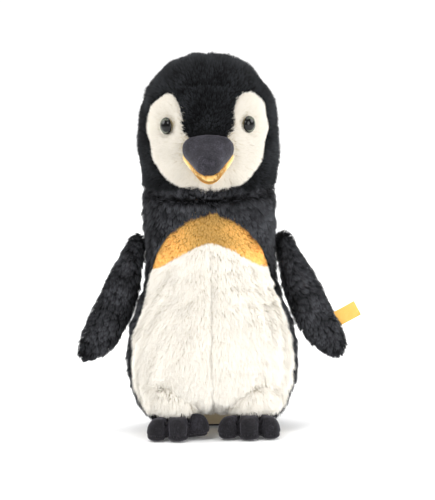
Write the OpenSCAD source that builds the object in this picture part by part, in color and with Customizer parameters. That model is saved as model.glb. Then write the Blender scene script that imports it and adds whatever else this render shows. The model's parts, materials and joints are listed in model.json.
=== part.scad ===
// Plush penguin: a stuffed toy that stands on its feet and its pellet-filled seat.
// The toy faces -Y, its left side is +X, and the seat's flat face lies on z = 0 around the origin.

/* [Body] */
// Distance of the body's axis in front of the seat's centre
body_y = -18; // [-19:1:-13]
// Height of the neck seam above the ground
neck_z = 186; // [160:1:230]
// Height at which the belly is widest
belly_z = 53; // [44:1:66]
// Width of the belly
belly_w = 127; // [106:1:153]
// How far the belly stands in front of the body's axis
belly_front = 57; // [46:1:69]
// How far the back stands behind the body's axis
belly_back = 56; // [46:1:68]
// Height of the middle of the chest
chest_z = 129; // [118:1:150]
// Width of the chest
chest_w = 93; // [80:1:104]
// Width of the neck seam
neck_w = 96; // [82:1:108]
// How far the neck stands in front of the body's axis
neck_front = 44; // [38:1:50]
// How far the neck stands behind the body's axis
neck_back = 46; // [39:1:52]
// Width of the flat seat
seat_w = 60; // [50:1:70]
// Depth of the flat seat
seat_depth = 40; // [34:1:46]

/* [Head] */
// Height of the head above the neck seam
head_h = 102; // [85:1:122]
// Width of the head
head_w = 100; // [86:1:120]
// How far the face stands in front of the head's axis
head_front = 56; // [50:1:64]
// How far the head stands behind its axis
head_back = 50; // [42:1:60]

/* [Beak] */
// Width of the upper beak
beak_w = 39; // [33:1:46]
// Height of the beak's middle above the neck seam
beak_rise = 35; // [31:1:40]
// How far the tip of the beak stands in front of the face
beak_reach = 23; // [19:1:28]
// How far the tip hangs below the beak's middle
beak_drop = 10.5; // [9:0.5:14]
// Thickness of the gold lower beak
lower_beak_t = 4.2; // [3:0.1:5]

/* [Eyes] */
// Diameter of an eye
eye_d = 13; // [10:0.5:15]
// Height of the eyes above the neck seam
eye_rise = 52.5; // [48:0.5:57]
// Distance between the eyes' centres
eye_spacing = 61; // [52:1:68]
// Angle at which each eye looks out to the side
eye_turn = 52; // [44:1:56]
// Diameter of an eye's shank
shank_d = 3.6; // [3:0.1:4.4]
// Length of an eye's shank
shank_l = 13; // [10:0.5:16]
// Diameter of the washer that locks the shank
washer_d = 14; // [12:0.5:17]

/* [Flippers] */
// Height of the shoulder pivot above the ground
shoulder_z = 147; // [137:1:157]
// Length of a flipper from its pivot to its tip
flipper_l = 102; // [84:1:123]
// Greatest width of a flipper
flipper_w = 28; // [23:1:34]
// Greatest thickness of a flipper
flipper_t = 21; // [17:1:25]
// Diameter of the rounded shoulder end
shoulder_d = 14; // [12:0.5:17]
// Angle at which the flippers hang away from the body
flipper_hang = 20; // [17:1:40]

/* [Feet] */
// Distance between the middles of the two feet
foot_spacing = 54; // [50:1:60]
// Diameter of a toe
toe_d = 18.4; // [15.5:0.1:20]
// Distance between neighbouring toe tips
toe_pitch = 16.6; // [14:0.1:18]
// How far the middle toe's tip stands in front of the body's axis
toe_front = 68; // [62:1:80]
// Length of the foot behind the middle toe's tip
toe_l = 42; // [36:1:46]
// Height of the seam between the foot and its sole
sole_seam_z = 4.5; // [3.5:0.1:5.5]

/* [Tag] */
// Visible length of the folded tag
tag_l = 18; // [10:0.5:22]
// Width of the tag
tag_w = 12; // [8:0.5:16]
// Thickness of the ribbon
tag_t = 0.5; // [0.4:0.1:0.8]

/* [Fabric and fill] */
// Thickness of the plush backing
fabric_t = 1.6; // [1.2:0.1:2]
// Clearance between a cover and what fills it
fill_gap = 1; // [0.8:0.1:1.3]
// Clearance between pieces that move against each other
move_gap = 0.8; // [0.5:0.1:1]
// Radius of the pellet bag
bag_r = 22; // [19:1:25]
// Height of the pellet bag
bag_h = 30; // [25:1:36]

/* [Hidden] */

plush_black = [0.10, 0.10, 0.11];
plush_white = [0.95, 0.93, 0.88];
bib_ochre = [0.80, 0.58, 0.27];
velour_black = [0.17, 0.16, 0.18];
beak_gold = [0.96, 0.74, 0.35];
gusset_beige = [0.88, 0.80, 0.68];
tag_yellow = [0.97, 0.80, 0.38];
fill_white = [0.97, 0.97, 0.96];
eye_olive = [0.26, 0.27, 0.22];

// Sections of the body: height, half width, reach in front, reach behind
body_rows = [
    [0, seat_w / 2, max(0.5, seat_depth / 2 + body_y), seat_depth / 2 - body_y],
    [belly_z * 0.13, belly_w * 0.345, belly_front * 0.22, belly_back * 0.82],
    [belly_z * 0.25, belly_w * 0.395, belly_front * 0.36, belly_back * 0.90],
    [belly_z * 0.37, belly_w * 0.435, belly_front * 0.66, belly_back * 0.95],
    [belly_z * 0.50, belly_w * 0.46, belly_front * 0.85, belly_back * 0.98],
    [belly_z * 0.72, belly_w * 0.487, belly_front * 0.96, belly_back * 0.99],
    [belly_z, belly_w / 2, belly_front, belly_back],
    [belly_z * 0.62 + chest_z * 0.38, (belly_w * 0.82 + chest_w * 0.18) / 2, belly_front * 0.98, belly_back * 0.97],
    [chest_z * 0.85, chest_w / 2 + 3, (belly_front + neck_front) / 2, (belly_back + neck_back) / 2],
    [chest_z, chest_w / 2, neck_front * 1.04, neck_back * 1.03],
    [(chest_z + neck_z) / 2, neck_w / 2 + 0.5, neck_front, neck_back],
    [neck_z, neck_w / 2, neck_front, neck_back]
];

// The head is widest here, above the neck seam, and closes over the crown as a squarish dome
cheek_rise = head_h * 0.41;
crown_power = 2.3;

// Height of the head's lowest edge above the neck seam
head_gap = 1.8;
// Outlines of the face: height above the neck seam as a share of the head, inner and outer angle
face_rows = [
    [head_gap / head_h, 0.4, 3], [0.03, 0.4, 14], [0.075, 0.4, 28], [0.14, 0.4, 40], [0.22, 0.4, 49],
    [0.32, 0.4, 55], [0.41, 16, 59], [0.50, 21.5, 61], [0.60, 22, 61], [0.67, 25.5, 58],
    [0.71, 30, 53], [0.74, 36, 47]
];
// The forehead wedge's lower point and its top, as shares of the head
wedge_low = 0.36;
wedge_top = 0.78;

// The bib: angle around the body, and its lower and upper edges below the neck seam
bib_half_angle = 72;
bib_top_drop = 11;
bib_peak_t = 25;
bib_side_drop = 57;
bib_power = 1.55;
bib_thin_power = 3;

// Joints and their clearances
neck_r = 60;
// Room below the neck seam for the neck's fill
neck_room = 24;
neck_pivot_z = neck_z - sqrt(neck_r * neck_r - neck_w * neck_w / 4);
shoulder_x = max(chest_w, neck_w + 1) / 2 + shoulder_d / 2 + move_gap;
// A wider belly pushes the flippers out, by this many degrees for each extra millimetre of width
hang_for_belly = 0.4;
roomy_belly_w = 127;
hang = flipper_hang + hang_for_belly * max(0, belly_w - roomy_belly_w);
wadding_r = 4;

// Resolution of the soft forms
cols = 8;
round_fn = 48;
hull_fn = 20;
body_shares = [0, 0.025, 0.05, 0.075, 0.1, 0.13, 0.17, 0.22, 0.28, 0.35, 0.43, 0.52, 0.62, 0.72, 0.82, 0.91, 1];
// The fill stands this much further in where the covers curve most
body_fill_ease = 0.8;

// ---- Smooth sections -------------------------------------------------

function row_at(rows, z, i = 0) =
    i >= len(rows) - 2 || z <= rows[i + 1][0] ? i : row_at(rows, z, i + 1);

function slope(rows, i, c) =
    i == 0 ? (rows[1][c] - rows[0][c]) / (rows[1][0] - rows[0][0])
    : i == len(rows) - 1 ? (rows[i][c] - rows[i - 1][c]) / (rows[i][0] - rows[i - 1][0])
    : (rows[i + 1][c] - rows[i - 1][c]) / (rows[i + 1][0] - rows[i - 1][0]);

// A smooth curve through column c of the rows
function through(rows, z, c) =
    let (i = row_at(rows, z), h = rows[i + 1][0] - rows[i][0], t = (z - rows[i][0]) / h)
    (2 * t * t * t - 3 * t * t + 1) * rows[i][c]
    + (t * t * t - 2 * t * t + t) * h * slope(rows, i, c)
    + (3 * t * t - 2 * t * t * t) * rows[i + 1][c]
    + (t * t * t - t * t) * h * slope(rows, i + 1, c);

// Half width, reach in front and reach behind of the head, at a height above the neck seam
function dome(s) = pow(1 - pow(s, crown_power), 1 / crown_power);
function head_reach(h, neck, full) =
    h > cheek_rise ? full * dome(min(0.9999, (h - cheek_rise) / (head_h - cheek_rise)))
    : neck + (full - neck) * (0.5 - 0.5 * cos(180 * h / cheek_rise));
function head_section(z) =
    let (h = z - neck_z)
    [head_reach(h, neck_w / 2, head_w / 2), head_reach(h, neck_front + 3, head_front),
     head_reach(h, neck_back, head_back)];
function body_section(z) =
    [through(body_rows, z, 1), through(body_rows, z, 2), through(body_rows, z, 3)];

// A point on the figure: angle from straight ahead towards the left, and height
function on_figure(u, z) =
    let (s = z > neck_z ? head_section(z) : body_section(max(0, z)))
    [s[0] * sin(u), body_y - (cos(u) > 0 ? s[1] : s[2]) * cos(u), z];

function unit(v) = v / norm(v);
function normal_at(u, z) =
    let (z0 = z > neck_z + head_h - 1.5 ? z - 1.2 : z)
    unit(cross(on_figure(u + 1, z0) - on_figure(u - 1, z0),
               on_figure(u, z0 + 0.5) - on_figure(u, z0 - 0.5)));
function sunk(u, z, d) = on_figure(u, z) - d * normal_at(u, z);

// ---- Solids made from points -----------------------------------------

// A panel of fabric: rows of [height, first angle, last angle], each filled with n columns
module panel(rows, n = cols, t = fabric_t) {
    w = n + 1;
    m = len(rows);
    outer = [for (r = rows) for (j = [0:n]) sunk(r[1] + (r[2] - r[1]) * j / n, r[0], 0)];
    inner = [for (r = rows) for (j = [0:n]) sunk(r[1] + (r[2] - r[1]) * j / n, r[0], t)];
    sheet(concat(outer, inner), m, w);
}

// A panel whose columns run between a lower and an upper height: [angle, low, high]
module strip(columns, n, t = fabric_t) {
    w = n + 1;
    m = len(columns);
    outer = [for (c = columns) for (j = [0:n]) sunk(c[0], c[2] + (c[1] - c[2]) * j / n, 0)];
    inner = [for (c = columns) for (j = [0:n]) sunk(c[0], c[2] + (c[1] - c[2]) * j / n, t)];
    sheet(concat(outer, inner), m, w);
}

// Closes an m by w grid of outer points and the same grid of inner points
module sheet(points, m, w) {
    half = m * w;
    skin = [for (i = [0:m - 2]) for (j = [0:w - 2])
        each [[i * w + j, (i + 1) * w + j, (i + 1) * w + j + 1], [i * w + j, (i + 1) * w + j + 1, i * w + j + 1]]];
    lining = [for (f = skin) [f[0] + half, f[2] + half, f[1] + half]];
    ring = concat([for (j = [0:w - 1]) j], [for (i = [1:m - 1]) i * w + w - 1],
                  [for (j = [w - 2:-1:0]) (m - 1) * w + j], [for (i = [m - 2:-1:1]) i * w]);
    k = len(ring);
    edge = [for (i = [0:k - 1]) let (a = ring[i], b = ring[(i + 1) % k])
        each [[a, b, b + half], [a, b + half, a + half]]];
    polyhedron(points, concat(skin, lining, edge), convexity = 6);
}

// A closed form from rings of points, all of the same length
module stacked(rings) {
    k = len(rings[0]);
    m = len(rings);
    sides = [for (i = [0:m - 2]) for (j = [0:k - 1]) let (n = (j + 1) % k)
        each [[i * k + j, (i + 1) * k + j, (i + 1) * k + n], [i * k + j, (i + 1) * k + n, i * k + n]]];
    base = [for (j = [0:k - 1]) j];
    lid = [for (j = [k - 1:-1:0]) (m - 1) * k + j];
    polyhedron([for (r = rings) each r], concat(sides, [base], [lid]), convexity = 4);
}

module mirrored(side) {
    mirror([side < 0 ? 1 : 0, 0, 0]) children();
}

// ---- Head --------------------------------------------------------------

function head_z(share) = neck_z + share * head_h;
function face_inner(share) = through(face_rows, share, 1);
function face_outer(share) = through(face_rows, share, 2);
face_top = face_rows[len(face_rows) - 1][0];

module head_cap(side) {
    low = [for (r = face_rows) [head_z(r[0]), r[2], 180]];
    high = [for (s = [0, 0.25, 0.5, 0.75, 1])
        [head_z(face_top + (wedge_top - face_top) * (0.15 + 0.85 * s)), 47 * (1 - s) + 0.1, 180]];
    crown = [for (s = [0.85, 0.9, 0.945, 0.975, 0.992, 0.9985, 0.9999]) [head_z(s), 0.1, 180]];
    color(plush_black) mirrored(side) panel(concat(low, high, crown), 12);
}
module head_cap_left() { head_cap(1); }
module head_cap_right() { head_cap(-1); }

module forehead_panel() {
    shares = [wedge_low, 0.41, 0.46, 0.50, 0.60, 0.67, 0.71, 0.74];
    sides = [for (s = shares) [head_z(s), max(1, face_inner(s) - 0.6)]];
    top = [for (s = [0, 0.35, 0.7, 1])
        [head_z(face_top + (wedge_top - face_top) * (0.1 + 0.85 * s)), 43 * (1 - s) + 1]];
    color(plush_black) panel([for (r = concat(sides, top)) [r[0], -r[1], r[1]]], 8);
}

eye_u = asin(min(0.95, eye_spacing / head_w));
function eye_spot(side) = let (p = on_figure(eye_u, neck_z + eye_rise)) [side * p[0], p[1], p[2]];
eye_stand = 1.1;

// Puts its children on an eye's axis, with +Z looking out of the face
module at_eye(side) {
    translate(eye_spot(side)) rotate([90, 0, side * eye_turn]) children();
}

module face(side) {
    color(plush_white) difference() {
        mirrored(side) panel([for (r = face_rows) [head_z(r[0]), r[1], r[2] - 0.3]]);
        at_eye(side) translate([0, 0, -shank_l]) cylinder(d = shank_d + 2 * fill_gap, h = 2 * shank_l, $fn = round_fn);
    }
}
module face_left() { face(1); }
module face_right() { face(-1); }

eye_rim_t = 0.8;
// The eye: a low dome on a rim, with a shank through the face
module eye(side) {
    dome_h = eye_d * 0.27;
    dome_r = (eye_d * eye_d / 4 + dome_h * dome_h) / (2 * dome_h);
    color(eye_olive) at_eye(side) translate([0, 0, eye_stand]) {
        cylinder(d = eye_d, h = eye_rim_t, $fn = round_fn);
        translate([0, 0, eye_rim_t]) intersection() {
            translate([0, 0, dome_h - dome_r]) sphere(r = dome_r, $fn = round_fn);
            cylinder(d = eye_d, h = dome_h + 1, $fn = round_fn);
        }
        translate([0, 0, -shank_l]) cylinder(d = shank_d, h = shank_l, $fn = round_fn);
    }
}
module eye_left() { eye(1); }
module eye_right() { eye(-1); }

washer_t = 1.4;
washer_depth = fabric_t + 2.4;
module eye_washer(side) {
    color("white") at_eye(side) translate([0, 0, -washer_depth - washer_t]) difference() {
        cylinder(d = washer_d, h = washer_t, $fn = round_fn);
        translate([0, 0, -1]) cylinder(d = shank_d + 0.1, h = washer_t + 2, $fn = round_fn);
    }
}
module eye_washer_left() { eye_washer(1); }
module eye_washer_right() { eye_washer(-1); }

fill_depth = fabric_t + fill_gap;
function ring_at(z, d, n) = [for (j = [0:n - 1]) sunk(360 * j / n, z, d)];

neck_pivot = [0, body_y, neck_pivot_z];
module neck_ball(r) {
    translate(neck_pivot) sphere(r = r, $fn = round_fn);
}

module head_stuffing() {
    shares = [0.03, 0.12, 0.24, 0.37, 0.5, 0.62, 0.73, 0.82, 0.9, 0.955, 0.985];
    color(fill_white) difference() {
        stacked([for (s = shares) ring_at(head_z(s), fill_depth, 24)]);
        neck_ball(neck_r + move_gap);
        for (side = [-1, 1]) at_eye(side) translate([0, 0, -shank_l - 2])
            cylinder(d = washer_d + 2, h = shank_l + 6, $fn = round_fn);
    }
}

// A cap of fill between the head and the body, that both bend about
neck_cap_angle = 36;
neck_cap_t = 14;
module neck_stuffing() {
    color(fill_white) intersection() {
        difference() {
            neck_ball(neck_r);
            neck_ball(neck_r - neck_cap_t);
        }
        translate(neck_pivot) cylinder(r1 = 0, r2 = 1.5 * neck_r * tan(neck_cap_angle), h = 1.5 * neck_r, $fn = round_fn);
    }
}

// ---- Beak ----------------------------------------------------------------

beak_z = neck_z + beak_rise;
beak_root_y = body_y - head_front;
module beak_form(inset = 0) {
    lobe_r = beak_w * 0.26;
    tip_r = beak_w * 0.25;
    hull() {
        for (side = [-1, 1]) translate([side * (beak_w / 2 - lobe_r), beak_root_y + 3, beak_z])
            sphere(r = lobe_r - inset, $fn = hull_fn);
        translate([0, beak_root_y, beak_z + 1]) sphere(r = lobe_r - inset, $fn = hull_fn);
        translate([0, beak_root_y - beak_reach + tip_r, beak_z - beak_drop])
            sphere(r = tip_r - inset, $fn = hull_fn);
        translate([0, beak_root_y + 4, beak_z - beak_drop + 4]) sphere(r = tip_r - inset, $fn = hull_fn);
    }
}

module lower_beak_form() {
    corner_r = beak_w * 0.15;
    tip_r = beak_w * 0.235;
    hull() {
        for (side = [-1, 1]) translate([side * (beak_w / 2 - corner_r), beak_root_y + 6, beak_z - 4.5])
            sphere(r = corner_r, $fn = hull_fn);
        translate([0, beak_root_y - beak_reach + tip_r + 3, beak_z - beak_drop - lower_beak_t])
            sphere(r = tip_r, $fn = hull_fn);
        translate([0, beak_root_y + 4, beak_z - beak_drop]) sphere(r = tip_r, $fn = hull_fn);
    }
}

// The face's volume around the beak, which the beak's pieces stop against
module face_volume() {
    stacked([for (s = [0.02, 0.1, 0.18, 0.26, 0.34, 0.41, 0.5, 0.6, 0.7]) [for (u = [-90:9:90]) sunk(u, head_z(s), -0.15)]]);
}

module beak_upper() {
    color(velour_black) difference() {
        beak_form();
        beak_form(fabric_t);
        face_volume();
    }
}
module beak_stuffing() {
    color(fill_white) difference() {
        beak_form(fill_depth);
        face_volume();
    }
}
module beak_lower() {
    color(beak_gold) difference() {
        lower_beak_form();
        beak_form(-0.1);
        face_volume();
    }
}

// ---- Body ----------------------------------------------------------------

function bib_share(u) = pow(abs(u) / bib_half_angle, bib_power);
function bib_high(u) = neck_z - bib_top_drop - (bib_side_drop - bib_top_drop) * bib_share(u);
function bib_low(u) = bib_high(u) - bib_peak_t * (1 - pow(abs(u) / bib_half_angle, bib_thin_power)) - 0.6;
panel_low = belly_z * 0.35;
body_rim = 1.6;
seam_gap = 0.1;
seam_u = bib_half_angle;

module chest_panel() {
    color(plush_black) strip([for (i = [-10:10]) let (u = seam_u * i / 10) [u, bib_high(u) + seam_gap, neck_z - body_rim]], 5);
}
module bib() {
    color(bib_ochre) strip([for (i = [-10:10]) let (u = seam_u * i / 10) [u, bib_low(u) + seam_gap, bib_high(u)]], 2);
}
module belly(side) {
    color(plush_white) mirrored(side)
        strip([for (i = [10:-1:0]) let (u = -seam_u * i / 10) [u, panel_low, bib_low(u)]], 11);
}
module belly_left() { belly(-1); }
module belly_right() { belly(1); }

back_low = fabric_t + 0.3;
back_rows = [0, 0.02, 0.05, 0.1, 0.17, 0.25, 0.34, 0.44, 0.54, 0.64, 0.74, 0.84, 0.93, 1];
module back(side) {
    color(plush_black) mirrored(side)
        panel([for (s = back_rows) [back_low + (neck_z - body_rim - back_low) * s, seam_u, 180]], 9);
}
module back_left() { back(1); }
module back_right() { back(-1); }

module crotch_gusset() {
    color(gusset_beige) strip([for (i = [-8:8]) let (u = (seam_u - 1.5) * i / 8) [u, fabric_t + 0.3, panel_low - seam_gap]], 5);
}

module seat_panel() {
    outline = [for (p = ring_at(0, 0, 40)) [p[0], p[1]]];
    color(velour_black) linear_extrude(fabric_t) polygon(outline);
}

module body_volume(d, n = 28) {
    low = fabric_t + 0.9;
    heights = [for (s = body_shares) low + (neck_z - 3 - low) * s];
    stacked([for (z = heights) ring_at(z, d, n)]);
}

module bag_form(grow = 0) {
    r = bag_r + grow;
    translate([0, body_y + bag_back, bag_base - grow]) rotate_extrude($fn = round_fn)
        bag_outline(r, bag_h + 2 * grow);
}
bag_base = fabric_t + 1.4;
bag_corner_r = 10;
bag_back = 18;

// Half of the bag's outline: a barrel with bulging sides
module bag_outline(r, h) {
    c = bag_corner_r;
    polygon(concat([[0, 0]], [for (a = [0:10:90]) [r - c + c * sin(a), c - c * cos(a)]],
                   [for (a = [0:10:90]) [r - c + c * cos(a), h - c + c * sin(a)]], [[0, h]]));
}

module body_stuffing() {
    color(fill_white) difference() {
        body_volume(fill_depth + body_fill_ease);
        bag_form(fill_gap);
        translate([0, body_y + bag_back, 0]) cylinder(r = bag_r - 6, h = bag_h / 2, $fn = round_fn);
        neck_floor();
    }
}

// Room for the neck's fill, which turns about the same point
module neck_floor() {
    difference() {
        translate([-neck_w, body_y - neck_w, neck_z - neck_room]) cube([2 * neck_w, 2 * neck_w, neck_w]);
        neck_ball(neck_r - neck_cap_t - move_gap);
    }
}

module pellet_bag() {
    color("wheat") difference() {
        bag_form();
        bag_form(-1);
    }
}
module pellets() {
    color("silver") bag_form(-1.2);
}

// ---- Legs and feet ---------------------------------------------------------

leg_r = 25;
leg_low = toe_d + 1.6;
leg_middle_z = leg_low + 10;
leg_forward = 27;
module leg(side) {
    rings = [for (a = [-30:15:75]) [for (i = [0:15:345])
        [leg_r * cos(a) * cos(i), leg_r * cos(a) * sin(i), leg_r * sin(a)]]];
    color(plush_white) difference() {
        translate([side * foot_spacing / 2, body_y - leg_forward, leg_middle_z]) stacked(rings);
        translate([side * foot_spacing / 2 - 2 * leg_r, body_y - leg_forward - 2 * leg_r, leg_low - 2 * leg_r])
            cube([4 * leg_r, 4 * leg_r, 2 * leg_r]);
        body_leg_cut();
    }
}
module leg_left() { leg(1); }
module leg_right() { leg(-1); }

// The front of the body, grown a little, that the leg covers stop against
module body_leg_cut() {
    stacked([for (i = [0:8]) let (z = leg_low - 2 + (leg_middle_z + leg_r + 4 - leg_low) * i / 8)
        [for (u = [-87:12:93]) sunk(u, z, -0.2)]]);
}

// The foot's outline: three toe tips and a heel, as circles that the outline runs around
toe_r = toe_d / 2;
foot_middle = [0, -toe_front + toe_l / 2];
foot_circles = [
    [[-toe_pitch, -toe_front + toe_r + 4], toe_r], [[0, -toe_front + toe_r], toe_r],
    [[toe_pitch, -toe_front + toe_r + 4], toe_r], [[0, -toe_front + toe_l - toe_r - 2], toe_r + 6],
    [[-toe_pitch * 0.8, -toe_front + toe_l / 2], toe_r], [[toe_pitch * 0.8, -toe_front + toe_l / 2], toe_r]
];

// How far the outline reaches from the foot's middle in direction a
function circle_reach(c, a) =
    let (v = c[0] - foot_middle, d = norm(v), off = a - (d == 0 ? 0 : atan2(v[1], v[0])),
         q = c[1] * c[1] - d * d * sin(off) * sin(off))
    q < 0 ? 0 : d * cos(off) + sqrt(q);
function foot_reach(a) = max([for (c = foot_circles) circle_reach(c, a)]);

// A ring of the foot: outline drawn in by an amount, at a height that dips between the toes
function foot_ring(z, draw) =
    [for (i = [0:foot_cols - 1]) let (a = 360 * i / foot_cols, r = foot_reach(a) - draw)
        [foot_middle[0] + r * cos(a), foot_middle[1] + r * sin(a), z]];
foot_cols = 48;
module foot_form(inset = 0) {
    top = toe_d - inset;
    under = [[inset, 3.2 + inset], [sole_seam_z * 0.4, 1.2 + inset]];
    over = [for (a = [0:15:75]) [sole_seam_z + (top - sole_seam_z) * sin(a), inset + (1 - cos(a)) * toe_r * 1.15]];
    low = [for (u = under) if (u[0] <= sole_seam_z - 0.5) u];
    stacked([for (u = concat(low, over, [[top, toe_r * 1.1 + inset]])) foot_ring(u[0], u[1])]);
}

module at_foot(side) {
    translate([side * foot_spacing / 2, body_y, 0]) children();
}

module foot_slab(low, high) {
    translate([-2 * toe_pitch - toe_d, -toe_front - toe_d, low])
        cube([4 * toe_pitch + 2 * toe_d, toe_front + toe_l + toe_d, high - low]);
}

module foot_upper(side) {
    color(velour_black) at_foot(side) intersection() {
        difference() {
            foot_form();
            foot_form(fabric_t);
        }
        foot_slab(sole_seam_z, toe_d + 1);
    }
}
module sole(side) {
    color(velour_black) at_foot(side) intersection() {
        difference() {
            foot_form();
            foot_form(fabric_t);
        }
        foot_slab(-1, sole_seam_z);
    }
}
module foot_stuffing(side) {
    color(fill_white) at_foot(side) foot_form(fill_depth);
}
module foot_upper_left() { foot_upper(1); }
module foot_upper_right() { foot_upper(-1); }
module sole_left() { sole(1); }
module sole_right() { sole(-1); }
module foot_stuffing_left() { foot_stuffing(1); }
module foot_stuffing_right() { foot_stuffing(-1); }

// ---- Flippers ----------------------------------------------------------------

// Sections along the flipper: distance from the pivot, half width, half thickness, sideways shift
flipper_rows = [
    [0, shoulder_d * 0.5, shoulder_d * 0.5, 0],
    [flipper_l * 0.15, shoulder_d * 0.52, flipper_t * 0.48, 0],
    [flipper_l * 0.30, flipper_w * 0.41, flipper_t * 0.5, 0],
    [flipper_l * 0.47, flipper_w * 0.48, flipper_t * 0.5, 0.4],
    [flipper_l * 0.62, flipper_w * 0.5, flipper_t * 0.47, flipper_l * 0.012],
    [flipper_l * 0.75, flipper_w * 0.48, flipper_t * 0.41, flipper_l * 0.034],
    [flipper_l * 0.88, flipper_w * 0.41, flipper_t * 0.31, flipper_l * 0.064],
    [flipper_l * 0.96, flipper_w * 0.28, flipper_t * 0.18, flipper_l * 0.088],
    [flipper_l, flipper_w * 0.1, flipper_t * 0.06, flipper_l * 0.1]
];
// Rounds off the shoulder above the pivot
shoulder_rows = [for (a = [80, 60, 40, 20])
    [-shoulder_d / 2 * sin(a), shoulder_d / 2 * cos(a), shoulder_d / 2 * cos(a), 0]];
flipper_all = concat(shoulder_rows, [for (i = [0:12]) let (s = flipper_l * i / 12)
    [s, through(flipper_rows, s, 1), through(flipper_rows, s, 2), through(flipper_rows, s, 3)]]);

// A point on the flipper: angle around it, 0 towards the outside, 90 towards the front
function on_flipper(r, a, d) =
    [r[3] + max(0.3, r[1] - d) * cos(a), -max(0.3, r[2] - d) * sin(a), -r[0] * (1 - d / flipper_l)];

module at_shoulder(side) {
    mirrored(side) translate([shoulder_x, body_y, shoulder_z]) rotate([0, -hang, 0]) children();
}

module flipper_panel(side, first) {
    w = 11;
    outer = [for (r = flipper_all) for (j = [0:w - 1]) on_flipper(r, first + 180 * j / (w - 1), 0)];
    inner = [for (r = flipper_all) for (j = [0:w - 1]) on_flipper(r, first + 180 * j / (w - 1), fabric_t)];
    color(plush_black) at_shoulder(side) difference() {
        sheet(concat(outer, inner), len(flipper_all), w);
        sphere(r = wadding_r + move_gap, $fn = round_fn);
    }
}
module flipper_front_left() { flipper_panel(1, 0); }
module flipper_back_left() { flipper_panel(1, 180); }
module flipper_front_right() { flipper_panel(-1, 0); }
module flipper_back_right() { flipper_panel(-1, 180); }

module flipper_stuffing(side) {
    inside = [for (r = flipper_all) if (r[0] > -shoulder_d * 0.3 && r[0] < flipper_l * 0.93) r];
    color(fill_white) at_shoulder(side) difference() {
        stacked([for (r = inside) [for (a = [0:24:359]) on_flipper(r, a, fill_depth)]]);
        sphere(r = wadding_r + move_gap, $fn = round_fn);
    }
}
module flipper_stuffing_left() { flipper_stuffing(1); }
module flipper_stuffing_right() { flipper_stuffing(-1); }

module shoulder_wadding(side) {
    color(fill_white) at_shoulder(side) sphere(r = wadding_r, $fn = round_fn);
}
module shoulder_wadding_left() { shoulder_wadding(1); }
module shoulder_wadding_right() { shoulder_wadding(-1); }

// ---- Tag -----------------------------------------------------------------------

// A ribbon folded in half, its two ends held in the flipper's outer seam
tag_along = flipper_l * 0.72;
function flipper_edge(s) = through(flipper_rows, s, 1) + through(flipper_rows, s, 3);
tag_tilt = atan((flipper_edge(tag_along + tag_w / 2) - flipper_edge(tag_along - tag_w / 2)) / tag_w);
module woven_tag() {
    fold_r = tag_t * 1.5;
    color(tag_yellow) at_shoulder(1)
        translate([flipper_edge(tag_along) + move_gap, 0, -tag_along]) rotate([0, -tag_tilt, 0])
        translate([0, 0, -tag_w / 2]) linear_extrude(tag_w) difference() {
            union() {
                translate([0, -fold_r]) square([tag_l - fold_r, 2 * fold_r]);
                translate([tag_l - fold_r, 0]) circle(r = fold_r, $fn = round_fn);
            }
            translate([-1, tag_t - fold_r]) square([tag_l - fold_r + 1, 2 * (fold_r - tag_t)]);
            translate([tag_l - fold_r, 0]) circle(r = fold_r - tag_t, $fn = round_fn);
        }
}

head_cap_left();
head_cap_right();
forehead_panel();
face_left();
face_right();
beak_upper();
beak_lower();
beak_stuffing();
eye_left();
eye_right();
eye_washer_left();
eye_washer_right();
head_stuffing();
neck_stuffing();
chest_panel();
bib();
belly_left();
belly_right();
back_left();
back_right();
crotch_gusset();
seat_panel();
leg_left();
leg_right();
body_stuffing();
pellet_bag();
pellets();
flipper_front_left();
flipper_back_left();
flipper_stuffing_left();
shoulder_wadding_left();
flipper_front_right();
flipper_back_right();
flipper_stuffing_right();
shoulder_wadding_right();
woven_tag();
foot_upper_left();
sole_left();
foot_stuffing_left();
foot_upper_right();
sole_right();
foot_stuffing_right();
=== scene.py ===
import bpy
import json
import math
import numpy as np
from mathutils import Matrix, Vector
from mathutils.bvhtree import BVHTree
from mathutils.kdtree import KDTree

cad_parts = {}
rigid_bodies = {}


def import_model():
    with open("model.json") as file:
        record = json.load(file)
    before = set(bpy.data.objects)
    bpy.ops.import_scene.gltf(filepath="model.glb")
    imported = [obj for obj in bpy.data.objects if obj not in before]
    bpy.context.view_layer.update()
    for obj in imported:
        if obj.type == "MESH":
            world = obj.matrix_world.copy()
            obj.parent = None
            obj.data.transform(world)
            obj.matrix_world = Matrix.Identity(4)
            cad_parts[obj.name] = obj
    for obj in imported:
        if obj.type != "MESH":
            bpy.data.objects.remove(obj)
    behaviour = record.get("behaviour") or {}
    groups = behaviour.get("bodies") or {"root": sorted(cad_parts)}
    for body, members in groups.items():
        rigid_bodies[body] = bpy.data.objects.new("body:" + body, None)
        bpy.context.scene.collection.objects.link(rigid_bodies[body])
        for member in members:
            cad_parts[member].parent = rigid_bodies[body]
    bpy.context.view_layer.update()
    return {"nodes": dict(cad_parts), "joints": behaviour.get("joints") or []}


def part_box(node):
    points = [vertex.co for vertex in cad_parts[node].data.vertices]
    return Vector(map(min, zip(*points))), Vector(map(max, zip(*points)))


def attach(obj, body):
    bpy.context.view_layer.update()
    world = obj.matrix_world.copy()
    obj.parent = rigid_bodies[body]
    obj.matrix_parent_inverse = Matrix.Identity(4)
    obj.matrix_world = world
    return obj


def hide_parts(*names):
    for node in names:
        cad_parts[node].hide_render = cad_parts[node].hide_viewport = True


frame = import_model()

mm = 0.001
nodes = frame["nodes"]
joints = {j["name"]: j for j in frame["joints"]}
scene = bpy.context.scene


# An sRGB hex code as linear light
def srgb(code):
    channels = [int(code[i:i + 2], 16) / 255 for i in (1, 3, 5)]
    return tuple(c / 12.92 if c <= 0.04045 else ((c + 0.055) / 1.055) ** 2.4 for c in channels) + (1.0,)


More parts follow.
